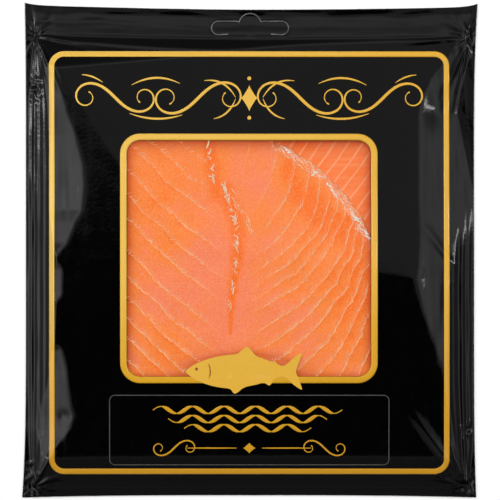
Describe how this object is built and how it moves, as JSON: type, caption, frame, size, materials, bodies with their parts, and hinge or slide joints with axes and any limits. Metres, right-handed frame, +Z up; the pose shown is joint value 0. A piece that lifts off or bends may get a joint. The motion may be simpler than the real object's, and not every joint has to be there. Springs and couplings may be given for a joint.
{
  "type": "pack of smoked salmon",
  "caption": "Flat sealed film pouch of sliced smoked salmon, with a clear window, a printed border and a hang slot, lying on its back.",
  "frame": {"origin": "centre of the flat base, at the height of the surface the pack lies on", "axes": "+Z up out of the shown front, +Y towards the head with the hang slot, +X towards the right of the front"},
  "size_m": [0.1894, 0.2064, 0.008],
  "materials": {
    "pouch": "glossy black printed film, soft folds",
    "window_film": "clear glossy film",
    "salmon_upper": "moist cut fish, orange with pale fat lines",
    "salmon_lower": "moist cut fish, orange with pale fat lines"
  },
  "bodies": {
    "root": {"pouch": "pouch", "window_film": "window_film", "salmon_upper_slice": "salmon_upper", "salmon_lower_slice": "salmon_lower"}
  },
  "joints": []
}
